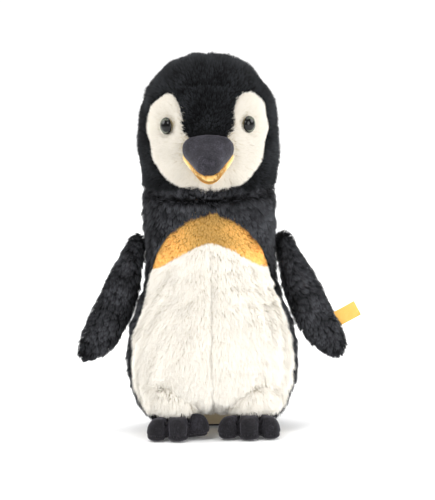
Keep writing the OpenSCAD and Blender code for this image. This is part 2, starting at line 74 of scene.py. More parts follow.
def addNode(tree, kind, settings=None, inputs=None):
    node = tree.nodes.new(kind)
    for key, value in (settings or {}).items():
        setattr(node, key, value)
    for key, value in (inputs or {}).items():
        if isinstance(value, bpy.types.NodeSocket):
            tree.links.new(value, node.inputs[key])
        else:
            node.inputs[key].default_value = value
    return node


def newMaterial(name):
    material = bpy.data.materials.new(name)
    material.use_nodes = True
    tree = material.node_tree
    tree.nodes.clear()
    return material, tree


def setRamp(node, stops):
    ramp = node.color_ramp
    while len(ramp.elements) > 1:
        ramp.elements.remove(ramp.elements[-1])
    ramp.elements[0].position, ramp.elements[0].color = stops[0]
    for place, colour in stops[1:]:
        ramp.elements.new(place).color = colour


def finishShader(tree, shader):
    addNode(tree, "ShaderNodeOutputMaterial", None, {"Surface": shader.outputs[0]})


def only(*objects):
    bpy.ops.object.select_all(action="DESELECT")
    for o in objects:
        o.select_set(True)
    bpy.context.view_layer.objects.active = objects[0]


def readPoints(mesh):
    flat = np.empty(len(mesh.vertices) * 3)
    mesh.vertices.foreach_get("co", flat)
    return flat.reshape(-1, 3)


def writePoints(mesh, points):
    mesh.vertices.foreach_set("co", np.ascontiguousarray(points, dtype=np.float64).ravel())
    mesh.update()


def readNormals(mesh):
    flat = np.empty(len(mesh.vertices) * 3)
    mesh.vertex_normals.foreach_get("vector", flat)
    return flat.reshape(-1, 3)


def unit(v):
    return v / np.maximum(np.linalg.norm(v, axis=-1, keepdims=True), 1e-12)


def smooth(low, high, x):
    t = np.clip((x - low) / (high - low), 0, 1)
    return t * t * (3 - 2 * t)


wandering = {"waves": 6, "pace": 2.2, "turn": 6.28, "level": 2.45}   # level brings the sum back to about 1


# Smooth wandering vectors, about size across, for pile that never lies quite even
def wander(points, size, seed, dims=3):
    rng = np.random.default_rng(seed)
    out = np.zeros((len(points), dims))
    for i in range(wandering["waves"]):
        wave = rng.normal(size=(3, dims)) * wandering["pace"] / size
        out += np.sin(points @ wave + rng.uniform(0, wandering["turn"], dims))
    return out / wandering["level"]


camera = {
    "aim": (0.0056, -0.018, 0.1395),
    "distance": 1.8,
    "elevation": 5.5,    # degrees above the toy's middle
    "lean": 1.1,         # degrees that the view is turned round its own axis
    "lens": 166.8,
    "sees": (0.05, 20),
}
bpy.ops.object.select_all(action="DESELECT")
bpy.ops.object.camera_add()
cameraObject = bpy.context.object
cameraObject.name = "camera"
cameraObject.data.lens = camera["lens"]
cameraObject.data.clip_start, cameraObject.data.clip_end = camera["sees"]
rise = math.radians(camera["elevation"])
back = Vector((0, -math.cos(rise), math.sin(rise)))
cameraObject.location = Vector(camera["aim"]) + back * camera["distance"]
leaning = Matrix.Rotation(math.radians(-camera["lean"]), 3, "Z")
cameraObject.rotation_euler = ((-back).to_track_quat("-Z", "Y").to_matrix() @ leaning).to_euler()
scene.camera = cameraObject

lightsAim = Vector((0, -0.02, 0.15))
lights = {
    # place, size across, power in watts
    "key": ((-0.70, -1.25, 1.20), 0.7, 12.5),
    "fill": ((1.05, -1.05, 0.50), 0.9, 11),
    "left_side": ((-1.25, 0.15, 0.75), 0.7, 6.5),
    "right_side": ((1.25, 0.15, 0.75), 0.7, 6.5),
    "top": ((0.0, 0.05, 1.6), 0.9, 9.5),
}
for name, (place, across, power) in lights.items():
    bpy.ops.object.light_add(type="AREA", location=place)
    light = bpy.context.object
    light.name = name + "_light"
    light.data.shape = "DISK"
    light.data.size = across
    light.data.energy = power
    light.rotation_euler = (lightsAim - Vector(place)).to_track_quat("-Z", "Y").to_euler()

world = bpy.data.worlds.new("studio")
scene.world = world
world.use_nodes = True
world.node_tree.nodes.clear()
sky = addNode(world.node_tree, "ShaderNodeBackground", None, {"Color": (1, 1, 1, 1), "Strength": 0.5})
addNode(world.node_tree, "ShaderNodeOutputWorld", None, {"Surface": sky.outputs[0]})
scene.view_settings.view_transform = "Standard"
scene.view_settings.look = "None"

# A white paper sweep, matte, a little uneven so that it isn't one flat tone
bpy.ops.object.select_all(action="DESELECT")
bpy.ops.mesh.primitive_plane_add(size=8, location=(0, 0, -0.0002))
floor = bpy.context.object
floor.name = "floor"
paper, tree = newMaterial("white_paper_sweep")
place = addNode(tree, "ShaderNodeTexCoord")
grain = addNode(tree, "ShaderNodeTexNoise", None, {
    "Vector": place.outputs["Object"], "Scale": 3.0, "Detail": 2.0})
tone = addNode(tree, "ShaderNodeValToRGB", None, {"Fac": grain.outputs["Fac"]})
setRamp(tone, [(0.0, srgb("#F8F8F8")), (1.0, srgb("#FCFCFC"))])
spread = addNode(tree, "ShaderNodeVectorMath", {"operation": "LENGTH"}, {0: place.outputs["Object"]})
# painted light: the sweep glows more the further it lies from the toy, in place of light from behind, while near the
# toy it keeps its shadow
paintedGlow = addNode(tree, "ShaderNodeMapRange", None, {
    "Value": spread.outputs["Value"], "From Min": 0.12, "From Max": 0.5, "To Min": 0.08, "To Max": 0.7})
finishShader(tree, addNode(tree, "ShaderNodeBsdfPrincipled", None, {
    "Base Color": tone.outputs["Color"], "Roughness": 0.9, "Emission Color": tone.outputs["Color"],
    "Emission Strength": paintedGlow.outputs["Result"]}))
floor.data.materials.append(paper)
bpy.ops.object.select_all(action="DESELECT")
bpy.ops.mesh.primitive_plane_add(size=12, location=(0, 3.9, 2), rotation=(math.pi / 2, 0, 0))
backdrop = bpy.context.object
backdrop.name = "backdrop"
bright, tree = newMaterial("lit_white_backdrop")
place = addNode(tree, "ShaderNodeTexCoord")
grain = addNode(tree, "ShaderNodeTexNoise", None, {"Vector": place.outputs["Object"], "Scale": 1.0})
tone = addNode(tree, "ShaderNodeValToRGB", None, {"Fac": grain.outputs["Fac"]})
setRamp(tone, [(0.0, srgb("#FBFBFB")), (1.0, srgb("#FFFFFF"))])
finishShader(tree, addNode(tree, "ShaderNodeEmission", None, {
    "Color": tone.outputs["Color"], "Strength": 1.1}))
backdrop.data.materials.append(bright)
print("camera, light and floor")


# Knitted acrylic plush: a cut pile on a knitted back. Each tuft is darker at its root, painted shade deep in the
# pile, and lighter at its tip, a painted highlight where light catches the tips; tufts also differ a little at
# random. u is the tuft's own chance, v runs root to tip.
def plushMaterial(name, rootHex, middleHex, tipHex, spread, sheen, sheenHex, shine=0.25, shadedMiddle=False):
    material, tree = newMaterial(name)
    uv = addNode(tree, "ShaderNodeUVMap", {"uv_map": "pile"})
    parts = addNode(tree, "ShaderNodeSeparateXYZ", None, {"Vector": uv.outputs["UV"]})
    # painted light: the darker root colour is painted shade in the pile, the lighter tip colour a painted highlight
    along = addNode(tree, "ShaderNodeValToRGB", None, {"Fac": parts.outputs["Y"]})
    setRamp(along, [(0.0, srgb(rootHex)), (0.45, srgb(middleHex)), (1.0, srgb(tipHex))])
    level = addNode(tree, "ShaderNodeMapRange", None, {
        "Value": parts.outputs["X"], "To Min": 1 - spread, "To Max": 1 + spread})
    if shadedMiddle:   # painted light: darker in the middle, where the head's shadow falls, and lighter towards both sides
        place = addNode(tree, "ShaderNodeTexCoord")
        sides = addNode(tree, "ShaderNodeSeparateXYZ", None, {"Vector": place.outputs["Object"]})
        out = addNode(tree, "ShaderNodeMath", {"operation": "ABSOLUTE"}, {0: sides.outputs["X"]})
        lift = addNode(tree, "ShaderNodeMapRange", None, {
            "Value": out.outputs["Value"], "From Min": 6 * mm, "From Max": 34 * mm, "To Min": 0.8, "To Max": 1.45})
        level = addNode(tree, "ShaderNodeMath", {"operation": "MULTIPLY"}, {
            0: level.outputs["Result"], 1: lift.outputs["Result"]})
    tinted = addNode(tree, "ShaderNodeHueSaturation", None, {
        "Color": along.outputs["Color"], "Value": level.outputs[0]})
    finishShader(tree, addNode(tree, "ShaderNodeBsdfPrincipled", None, {
        "Base Color": tinted.outputs["Color"], "Roughness": 0.85, "IOR": 1.5, "Specular IOR Level": shine,
        "Sheen Weight": sheen, "Sheen Roughness": 0.4, "Sheen Tint": srgb(sheenHex)}))
    return material


# The knitted back that the pile stands in: loops about 1.2 mm apart, drawn as coarse as they show, darker in the
# gaps between loops as painted shade
def knitMaterial(name, darkHex, lightHex):
    material, tree = newMaterial(name)
    place = addNode(tree, "ShaderNodeTexCoord")
    loops = addNode(tree, "ShaderNodeTexVoronoi", None, {
        "Vector": place.outputs["Object"], "Scale": 1 / (1.2 * mm)})
    tone = addNode(tree, "ShaderNodeValToRGB", None, {"Fac": loops.outputs["Distance"]})
    setRamp(tone, [(0.0, srgb(lightHex)), (0.7, srgb(darkHex))])
    bump = addNode(tree, "ShaderNodeBump", None, {
        "Height": loops.outputs["Distance"], "Strength": 0.4, "Distance": 0.3 * mm})
    finishShader(tree, addNode(tree, "ShaderNodeBsdfPrincipled", None, {
        "Base Color": tone.outputs["Color"], "Roughness": 0.95, "Normal": bump.outputs["Normal"]}))
    return material


# Polyester velour: a shorn pile under 1 mm long, so the eye sees a fine fibrous grain and a soft light edge.
# Its fibres are a tenth of a millimetre, too fine to show, and are drawn at 1.1 mm, with brushed strokes of 9 mm.
def velourMaterial(name, darkHex, middleHex, lightHex, sheen):
    material, tree = newMaterial(name)
    place = addNode(tree, "ShaderNodeTexCoord")
    fibres = addNode(tree, "ShaderNodeTexNoise", None, {
        "Vector": place.outputs["Object"], "Scale": 1 / (1.1 * mm), "Detail": 4.0, "Roughness": 0.7})
    strokes = addNode(tree, "ShaderNodeTexNoise", None, {
        "Vector": place.outputs["Object"], "Scale": 1 / (9 * mm), "Detail": 2.0, "Distortion": 0.8})
    both = addNode(tree, "ShaderNodeMath", {"operation": "MULTIPLY_ADD"}, {
        0: strokes.outputs["Fac"], 1: 0.5, 2: fibres.outputs["Fac"]})
    tone = addNode(tree, "ShaderNodeValToRGB", None, {"Fac": both.outputs["Value"]})
    setRamp(tone, [(0.55, srgb(darkHex)), (0.75, srgb(middleHex)), (0.98, srgb(lightHex))])
    bump = addNode(tree, "ShaderNodeBump", None, {
        "Height": fibres.outputs["Fac"], "Strength": 0.5, "Distance": 0.4 * mm})
    finishShader(tree, addNode(tree, "ShaderNodeBsdfPrincipled", None, {
        "Base Color": tone.outputs["Color"], "Roughness": 0.85, "Specular IOR Level": 0.2,
        "Normal": bump.outputs["Normal"],
        "Sheen Weight": sheen, "Sheen Roughness": 0.45, "Sheen Tint": srgb("#C8C4D2")}))
    return material


# A plain finish whose tone follows one pattern
def patternMaterial(name, kind, settings, pattern, stops, roughness):
    material, tree = newMaterial(name)
    place = addNode(tree, "ShaderNodeTexCoord")
    drawn = addNode(tree, kind, settings, dict(pattern, Vector=place.outputs["Object"]))
    tone = addNode(tree, "ShaderNodeValToRGB", None, {"Fac": drawn.outputs["Fac"]})
    setRamp(tone, [(at, srgb(code)) for at, code in stops])
    finishShader(tree, addNode(tree, "ShaderNodeBsdfPrincipled", None, {
        "Base Color": tone.outputs["Color"], "Roughness": roughness}))
    return material


# painted highlight: the body and flipper plush has its tips lightened for the light caught on chest and flippers
blackPlush = plushMaterial("black_acrylic_plush",
    "#020202", "#08080A", "#4A4B4F", 0.95, 0.08, "#D8D8DA", shine=0.08)
# painted shade: the head's copy of the black plush has darker tips, where the head faces away from the top light
shadedHeadPlush = plushMaterial("shaded_black_head_plush", "#010101", "#050505", "#2A2C2F", 0.9, 0.12, "#D8D8DA", shine=0.08)
whitePlush = plushMaterial("cream_white_plush", "#F0E6CC", "#F9F3E6", "#FFFCF5", 0.04, 0.10, "#FFFFFF")
# painted shade: the face's copy of the cream plush is darker than the belly's, against the stronger light on the
# face
shadedFacePlush = plushMaterial("shaded_cream_face_plush", "#D0C4AA", "#DBD4C5", "#E4DFD6", 0.06, 0.05, "#FFFFFF")
bibPlush = plushMaterial("ochre_short_plush",
    "#B87E30", "#E6AC50", "#FFD684", 0.14, 0.08, "#FFE7B8", shadedMiddle=True)
goldPlush = plushMaterial("gold_beak_plush", "#EBB455", "#FFD078", "#FFE8AE", 0.08, 0.1, "#FFF0C8")
# painted shade: the cream and ochre backs are darker than their pile, for the shade at the foot of the pile
blackKnit = knitMaterial("black_plush_back", "#030304", "#08080A")
whiteKnit = knitMaterial("cream_plush_back_shaded", "#B9A77E", "#DCCFAE")
bibKnit = knitMaterial("ochre_plush_back_shaded", "#7A4A14", "#A8732C")
goldKnit = knitMaterial("gold_plush_back", "#F0B858", "#FFD07A")
beakVelour = velourMaterial("beak_velour", "#141316", "#222126", "#3D3B43", 0.30)
footVelour = velourMaterial("foot_velour", "#0E0D0F", "#18171A", "#2F2D33", 0.25)

# Smooth woven cotton, threads about 0.4 mm apart, drawn at 0.8 mm so that they show
gussetCotton, tree = newMaterial("beige_woven_cotton")
place = addNode(tree, "ShaderNodeTexCoord")
threadPitch, bandsPerUnit = 0.8 * mm, 3.2      # a wave node at scale 1 draws about 3.2 bands to the unit
weaves = []
for axis in ("X", "Z"):
    weaves.append(addNode(tree, "ShaderNodeTexWave", {"bands_direction": axis}, {
        "Vector": place.outputs["Object"], "Scale": 1 / threadPitch / bandsPerUnit,
        "Distortion": 1.0, "Detail": 1.0}))
woven = addNode(tree, "ShaderNodeMath", {"operation": "MULTIPLY"}, {
    0: weaves[0].outputs["Fac"], 1: weaves[1].outputs["Fac"]})
tone = addNode(tree, "ShaderNodeValToRGB", None, {"Fac": woven.outputs["Value"]})
setRamp(tone, [(0.0, srgb("#CDBB96")), (1.0, srgb("#E9DCC0"))])
bump = addNode(tree, "ShaderNodeBump", None, {
    "Height": woven.outputs["Value"], "Strength": 0.4, "Distance": 0.2 * mm})
finishShader(tree, addNode(tree, "ShaderNodeBsdfPrincipled", None, {
    "Base Color": tone.outputs["Color"], "Roughness": 0.8, "Sheen Weight": 0.2, "Normal": bump.outputs["Normal"]}))
print("materials")


# The panels of one cover as one tree, with the panel that each face belongs to
def panelTree(names):
    points, faces, owner = [], [], []
    for k, name in enumerate(names):
        mesh = nodes[name].data
        start = len(points)
        points.extend(v.co.copy() for v in mesh.vertices)
        faces.extend([start + i for i in p.vertices] for p in mesh.polygons)
        owner.extend([k] * len(mesh.polygons))
    return BVHTree.FromPolygons(points, faces), np.array(owner)


def nearestPanel(points, names):
    bvh, owner = panelTree(names)
    return owner[[bvh.find_nearest(p)[2] for p in points]]


# How far each point is from the nearest seam between two panels
def seamDistance(points, names):
    if len(names) < 2:
        return np.full(len(points), 1.0)
    away = []
    for name in names:
        bvh = panelTree([name])[0]
        away.append([bvh.find_nearest(p)[3] for p in points])
    away = np.sort(np.array(away), axis=0)
    return away[1] - away[0]


# Each stuffed form is one closed skin, filled by a cloth simulation
def stuffedForm(name, form):
    sources = [nodes[n] for n in form["panels"] + form["inside"]]
    only(*sources)
    bpy.ops.object.duplicate()
    bpy.ops.object.parent_clear(type="CLEAR_KEEP_TRANSFORM")
    if "dome" in form:
        bpy.ops.mesh.primitive_uv_sphere_add(
            segments=64, ring_count=48, radius=form["dome"], location=joints["head_nod"]["pos_m"])
        bpy.ops.object.mode_set(mode="EDIT")
        bpy.ops.mesh.select_all(action="SELECT")
        bpy.ops.mesh.bisect(
            plane_co=(0, 0, form["domeFrom"]), plane_no=(0, 0, -1), use_fill=True, clear_outer=True)
        bpy.ops.object.mode_set(mode="OBJECT")
        for o in bpy.data.objects:
            copied = "." in o.name and o.name.split(".")[0] in form["panels"] + form["inside"]
            if o.type == "MESH" and copied:
                o.select_set(True)
    bpy.ops.object.join()
    skin = bpy.context.object
    for key in list(skin.keys()):
        del skin[key]
    bpy.ops.object.transform_apply(location=True, rotation=True, scale=True)
    remesh = skin.modifiers.new("skin", "REMESH")
    remesh.mode = "VOXEL"
    remesh.voxel_size = form["voxel"]
    bpy.ops.object.modifier_apply(modifier=remesh.name)
    # the voids inside the fill come off as shells of their own, and only the outer one stays
    bpy.ops.object.mode_set(mode="EDIT")
    bpy.ops.mesh.separate(type="LOOSE")
    bpy.ops.object.mode_set(mode="OBJECT")
    shells = sorted(bpy.context.selected_objects, key=lambda o: -o.dimensions.length)
    for o in shells[1:]:
        bpy.data.objects.remove(o)
    skin = shells[0]
    skin.name = name
    skin.data.name = name
    only(skin)
    ease = skin.modifiers.new("ease", "SMOOTH")
    ease.factor = 0.5
    ease.iterations = form["ease"]
    bpy.ops.object.modifier_apply(modifier=ease.name)
    start = readPoints(skin.data) - readNormals(skin.data) * form["slack"]
    writePoints(skin.data, start)
    near = seamDistance(start, form["panels"])
    held = skin.vertex_groups.new(name="seams")
    held.add([int(i) for i in np.nonzero(near < form["pinned"])[0]], 1.0, "REPLACE")
    cloth = skin.modifiers.new("filling", "CLOTH")
    cloth.settings.use_pressure = True
    cloth.settings.uniform_pressure_force = form["pressure"]
    cloth.settings.effector_weights.gravity = 0
    cloth.settings.vertex_group_mass = held.name
    cloth.settings.quality = 5
    scene.frame_start, scene.frame_end = 1, 20
    for f in range(1, form["steps"] + 1):
        scene.frame_set(f)
    bpy.ops.object.modifier_apply(modifier=cloth.name)
    scene.frame_set(1)
    moved = readPoints(skin.data) - start
    far = np.linalg.norm(moved, axis=1, keepdims=True)
    writePoints(skin.data, start + moved * np.minimum(1, form["most"] / np.maximum(far, 1e-9)))
    skin.vertex_groups.clear()
    print(name, "filled, moved", round(float(far.mean()) * 1000, 2), "mm on average")
    if form["finer"]:
        finer = skin.modifiers.new("finer", "SUBSURF")
        finer.levels = finer.render_levels = form["finer"]
        bpy.ops.object.modifier_apply(modifier=finer.name)
    bpy.ops.object.shade_smooth()
    return skin


# Draws the skin in along the seams, deepest at the seam itself
def drawSeams(skin, names, depth, width):
    points = readPoints(skin.data)
    near = seamDistance(points, names)
    writePoints(skin.data, points - readNormals(skin.data) * (depth * np.exp(-(near / width) ** 2))[:, None])
    return near


def paintPanels(skin, names, materials):
    centres = [p.center for p in skin.data.polygons]
    skin.data.materials.clear()
    for m in materials:
        skin.data.materials.append(m)
    skin.data.polygons.foreach_set("material_index", nearestPanel(centres, names).astype(np.int32))


bodyForm = {
    "panels": ["chest_panel", "bib", "belly_left", "belly_right", "back_left", "back_right",
               "crotch_gusset", "seat_panel"],
    "inside": ["body_stuffing"], "voxel": 4.2 * mm, "slack": 1.0 * mm, "ease": 2, "pinned": 3.2 * mm,
    "pressure": 4, "steps": 16, "most": 3.0 * mm, "finer": 1, "dome": 59.4 * mm, "domeFrom": 185 * mm,
}
headForm = {
    "panels": ["head_cap_left", "head_cap_right", "forehead_panel", "face_left", "face_right"],
    "inside": ["head_stuffing"], "voxel": 3.6 * mm, "slack": 0.5 * mm, "ease": 2, "pinned": 2.8 * mm,
    "pressure": 4, "steps": 16, "most": 1.6 * mm, "finer": 1,
}
bodySkin = stuffedForm("body_cover", bodyForm)
bodyNear = drawSeams(bodySkin, bodyForm["panels"], 1.1 * mm, 3.0 * mm)
paintPanels(bodySkin, bodyForm["panels"], [
    blackKnit, bibKnit, whiteKnit, whiteKnit, blackKnit, blackKnit, gussetCotton, footVelour])
headSkin = stuffedForm("head_cover", headForm)
headNear = drawSeams(headSkin, headForm["panels"], 0.5 * mm, 2.0 * mm)
paintPanels(headSkin, headForm["panels"], [blackKnit, blackKnit, blackKnit, whiteKnit, whiteKnit])

flipperForm = {"voxel": 3.0 * mm, "slack": 1.2 * mm, "ease": 3, "pinned": 2.0 * mm, "pressure": 4, "steps": 14,
               "most": 1.5 * mm, "finer": 1}
footForm = {"voxel": 1.7 * mm, "slack": 0.8 * mm, "ease": 4, "pinned": 1.0 * mm, "pressure": 5, "steps": 12,
            "most": 1.2 * mm, "finer": 1}
legForm = {"voxel": 2.5 * mm, "slack": 0.8 * mm, "ease": 3, "pinned": 0.5 * mm, "pressure": 2, "steps": 8,
           "most": 1.0 * mm, "finer": 0}
flipperSkins, footSkins, legSkins = {}, {}, {}
for side in ("left", "right"):
    flipper = dict(flipperForm, panels=["flipper_front_" + side, "flipper_back_" + side],
                   inside=["flipper_stuffing_" + side])
    skin = stuffedForm("flipper_cover_" + side, flipper)
    near = drawSeams(skin, flipper["panels"], 0.5 * mm, 1.6 * mm)
    paintPanels(skin, flipper["panels"], [blackKnit, blackKnit])
    flipperSkins[side] = (skin, near, flipper["panels"])
    leg = dict(legForm, panels=["leg_" + side], inside=[])
    skin = stuffedForm("leg_cover_" + side, leg)
    skin.data.materials.clear()
    skin.data.materials.append(whiteKnit)
    legSkins[side] = skin
print("covers")

# The feet: three toes drawn apart by sewn channels, and a seam all round above the sole
feet = {
    "channelDepth": 4.4 * mm,
    "channelWidth": 1.3 * mm,
    "channelLength": 21 * mm,
    "channelAt": 9.7 * mm,
    "channelCloses": 2.2 * mm,         # how far it runs inwards over its length
    "channelFades": (0.75, 1.25),      # along its length
    "channelFull": (2.5 * mm, 7 * mm),
    "channelLow": 0.65,                # share of its depth near the ground
    "runEnd": 1.4,
    "toeRound": 1.1 * mm,
    "toeFades": (0.5, 1.25),
    "toeMost": 1.2,
    "outerToe": (17.5 * mm, 8.5 * mm),     # its middle, and half its width
    "innerBlend": 1.5 * mm,
    "innerLift": {"left": 0.4 * mm, "right": 3.0 * mm},
    "innerBack": {"left": 1.0 * mm, "right": 3.5 * mm},
    "seamDepth": 0.8 * mm,
    "seamWidth": 1.0 * mm,
    "stitchEvery": 2.6 * mm,
}


def makeFoot(side):
    form = dict(footForm, panels=["foot_upper_" + side, "sole_" + side], inside=["foot_stuffing_" + side])
    skin = stuffedForm("foot_cover_" + side, form)
    low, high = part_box("foot_upper_" + side)
    middle, front = (low.x + high.x) / 2, low.y
    points, normals = readPoints(skin.data), readNormals(skin.data)
    sink = np.zeros(len(points))
    run = np.clip((points[:, 1] - front) / feet["channelLength"], 0, feet["runEnd"])
    for s in (-1, 1):
        # a channel starts in the notch between two toes and runs back over the instep
        at = middle + s * (feet["channelAt"] - feet["channelCloses"] * run)
        across = np.abs(points[:, 0] - at)
        fade = 1 - smooth(*feet["channelFades"], run)
        rise = feet["channelLow"] + (1 - feet["channelLow"]) * smooth(*feet["channelFull"], points[:, 2])
        sink += feet["channelDepth"] * np.exp(-(across / feet["channelWidth"]) ** 2) * fade * rise
    # every toe is round across, and the inner one stands back a little
    rel = points[:, 0] - middle
    outerAt, outerHalf = feet["outerToe"]
    across = np.where(np.abs(rel) < feet["channelAt"], np.abs(rel) / feet["channelAt"],
                      np.abs(np.abs(rel) - outerAt) / outerHalf)
    fade = 1 - smooth(*feet["toeFades"], run)
    sink += feet["toeRound"] * np.clip(across, 0, feet["toeMost"]) ** 2 * fade
    inward = -1 if side == "left" else 1
    blend = feet["innerBlend"]
    inner = smooth(feet["channelAt"] - blend, feet["channelAt"] + blend, inward * rel) * fade
    points = points + inner[:, None] * (0, feet["innerBack"][side], feet["innerLift"][side])
    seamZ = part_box("sole_" + side)[1].z
    upright = np.abs(normals[:, 2]) < 0.8
    sink += feet["seamDepth"] * np.exp(-((points[:, 2] - seamZ) / feet["seamWidth"]) ** 2) * upright
    writePoints(skin.data, points - normals * sink[:, None])
    skin.data.materials.clear()
    skin.data.materials.append(footVelour)
    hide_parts(*form["panels"], *form["inside"])
    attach(skin, "foot_" + side)
    return skin, seamZ


for side in ("left", "right"):
    footSkins[side] = makeFoot(side)
print("feet")

# The beak: a velour upper and a short-piled gold lip under it
beakForm = {"panels": ["beak_upper"], "inside": ["beak_stuffing"], "voxel": 1.5 * mm, "slack": -0.5 * mm, "ease": 5,
            "pinned": 0.1 * mm, "pressure": 5, "steps": 10, "most": 1.0 * mm, "finer": 1}
lipForm = {"panels": ["beak_lower"], "inside": [], "voxel": 1.3 * mm, "slack": -0.3 * mm, "ease": 3,
           "pinned": 0.1 * mm, "pressure": 3, "steps": 6, "most": 0.6 * mm, "finer": 0}
beakSkin = stuffedForm("beak_cover", beakForm)
beakSkin.data.materials.clear()
beakSkin.data.materials.append(beakVelour)
lipSkin = stuffedForm("beak_lip_cover", lipForm)
points = readPoints(lipSkin.data)      # the lip thins out towards the corners of the mouth
points[:, 0] *= 1 - 0.08 * smooth(4 * mm, 17 * mm, np.abs(points[:, 0]))
writePoints(lipSkin.data, points)
lipSkin.data.materials.clear()
lipSkin.data.materials.append(goldKnit)
print("beak")


# The eyes: a clear moulded lens over a printed iris, set on the CAD eye and turned a little further out than it
eyes = {
    "across": 13 * mm,
    "dome": 4.0 * mm,
    "turn": 54,              # degrees out from straight ahead
    "tip": 0.8 * mm,         # how much of the CAD dome's tip gives its place
    "backShare": 0.16,       # the flat back's depth, as a share of the sphere's
    "pupil": 0.33,           # radius, as a share of the lens, like the lines below
    "inward": 0.20,
    "pupilEdge": (0.02, 0.03),
    "rim": (0.43, 0.48),
}

eyeLens, tree = newMaterial("moulded_acrylic_eye")   # cast acrylic, polished by its mould: hard bright highlights
uv = addNode(tree, "ShaderNodeUVMap", {"uv_map": "iris"})
fromPupil = addNode(tree, "ShaderNodeVectorMath", {"operation": "DISTANCE"}, {
    0: uv.outputs["UV"], 1: (0.5 - eyes["inward"], 0.5, 0)})
fromMiddle = addNode(tree, "ShaderNodeVectorMath", {"operation": "DISTANCE"}, {
    0: uv.outputs["UV"], 1: (0.5, 0.5, 0)})
streaks = addNode(tree, "ShaderNodeTexNoise", None, {"Vector": uv.outputs["UV"], "Scale": 16.0, "Detail": 3.0})
irisTone = addNode(tree, "ShaderNodeValToRGB", None, {"Fac": streaks.outputs["Fac"]})
setRamp(irisTone, [(0.3, srgb("#33372F")), (0.7, srgb("#666A5C"))])
pupilMask = addNode(tree, "ShaderNodeMapRange", None, {
    "Value": fromPupil.outputs["Value"],
    "From Min": eyes["pupil"] - eyes["pupilEdge"][0], "From Max": eyes["pupil"] + eyes["pupilEdge"][1]})
withPupil = addNode(tree, "ShaderNodeMix", {"data_type": "RGBA"}, {
    "Factor": pupilMask.outputs["Result"], 6: srgb("#050505"), 7: irisTone.outputs["Color"]})
rimMask = addNode(tree, "ShaderNodeMapRange", None, {
    "Value": fromMiddle.outputs["Value"], "From Min": eyes["rim"][0], "From Max": eyes["rim"][1]})
withRim = addNode(tree, "ShaderNodeMix", {"data_type": "RGBA"}, {
    "Factor": rimMask.outputs["Result"], 6: withPupil.outputs[2], 7: srgb("#0B0B0A")})
finishShader(tree, addNode(tree, "ShaderNodeBsdfPrincipled", None, {
    "Base Color": withRim.outputs[2], "Roughness": 0.1, "IOR": 1.49, "Specular IOR Level": 0.25}))

eyePlaces = {}


def makeEye(side):
    sign = 1 if side == "left" else -1
    points = readPoints(nodes["eye_" + side].data)
    turn = math.radians(eyes["turn"])
    out = Vector((sign * math.sin(turn), -math.cos(turn), 0))
    reach = points @ np.array(out)
    top = Vector(points[reach > reach.max() - eyes["tip"]].mean(axis=0))
    base = top - out * eyes["dome"]
    bpy.ops.object.select_all(action="DESELECT")
    bpy.ops.mesh.primitive_uv_sphere_add(segments=48, ring_count=32, radius=eyes["across"] / 2)
    eye = bpy.context.object
    eye.name = "eye_lens_" + side
    local = readPoints(eye.data)
    # front: a shallow dome; behind the rim: a flat back with a rounded edge
    dome = local[:, 2] / (eyes["across"] / 2) * eyes["dome"]
    local[:, 2] = np.where(local[:, 2] > 0, dome, local[:, 2] * eyes["backShare"])
    uvLayer = eye.data.uv_layers.new(name="iris")
    loopVertex = np.empty(len(eye.data.loops), dtype=np.int32)
    eye.data.loops.foreach_get("vertex_index", loopVertex)
    flat = local[loopVertex, :2] / eyes["across"] + 0.5
    flat[:, 0] = flat[:, 0] if sign > 0 else 1 - flat[:, 0]
    uvLayer.data.foreach_set("uv", flat.ravel())
    up = Vector((0, 0, 1))
    right = up.cross(out)      # the eye's own +X: outwards on the left eye
    frameOf = Matrix((right, up, out)).transposed()
    writePoints(eye.data, local @ np.array(frameOf).T + np.array(base))
    bpy.ops.object.shade_smooth()
    eye.data.materials.clear()
    eye.data.materials.append(eyeLens)
    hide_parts("eye_" + side)
    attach(eye, "head")
    eyePlaces[side] = (np.array(base), np.array(out))


for side in ("left", "right"):
    makeEye(side)
print("eyes")


# The pile: every panel grows its own, combed the way it is sewn. This scatters its roots evenly by area.
def scatter(skin, perSquareMm, seed, near=None):
    rng = np.random.default_rng(seed)
    mesh = skin.data
    mesh.calc_loop_triangles()
    corners = np.empty(len(mesh.loop_triangles) * 3, dtype=np.int32)
    mesh.loop_triangles.foreach_get("vertices", corners)
    corners = corners.reshape(-1, 3)
    points, normals = readPoints(mesh), readNormals(mesh)
    a, b, c = (points[corners[:, i]] for i in range(3))
    area = np.linalg.norm(np.cross(b - a, c - a), axis=1) / 2
    count = int(area.sum() / mm ** 2 * perSquareMm)
    pick = rng.choice(len(area), size=count, p=area / area.sum())
    r, s = np.sqrt(rng.random(count)), rng.random(count)
    w = np.stack([1 - r, r * (1 - s), r * s], axis=1)[:, :, None]
    roots = (points[corners[pick]] * w).sum(axis=1)
    facing = unit((normals[corners[pick]] * w).sum(axis=1))
    if near is None:
        return roots, facing
    return roots, facing, (near[corners[pick]] * w[:, :, 0]).sum(axis=1)


tuft = {
    "lengths": (0.72, 1.12),                    # of the pile's length
    "drift": (0.18, 9 * mm),                    # how far the length wanders, and over what distance
    "rootLift": 0.35,                           # a blade starts steeper than it ends
    "leans": (0.6, 1.25),                       # its lower and upper half's share of the lean
    "sunk": 0.6 * mm,
    "lockReach": 6 * mm,
    "lockPull": (0.5, 1.0),
    "middlePull": 0.35,
    "ground": (0.2 * mm, 0.3 * mm, 0.4 * mm),   # the lowest root, middle and tip: tufts press flat there
    "widths": (0.7, 1.2),
    "middleWidth": 0.42,                        # half of it, as a share of the root's width
    "shades": (0.22, 14 * mm, 0.30, 0.3),       # wandering tone and its distance, each tuft's own, each lock's own
}


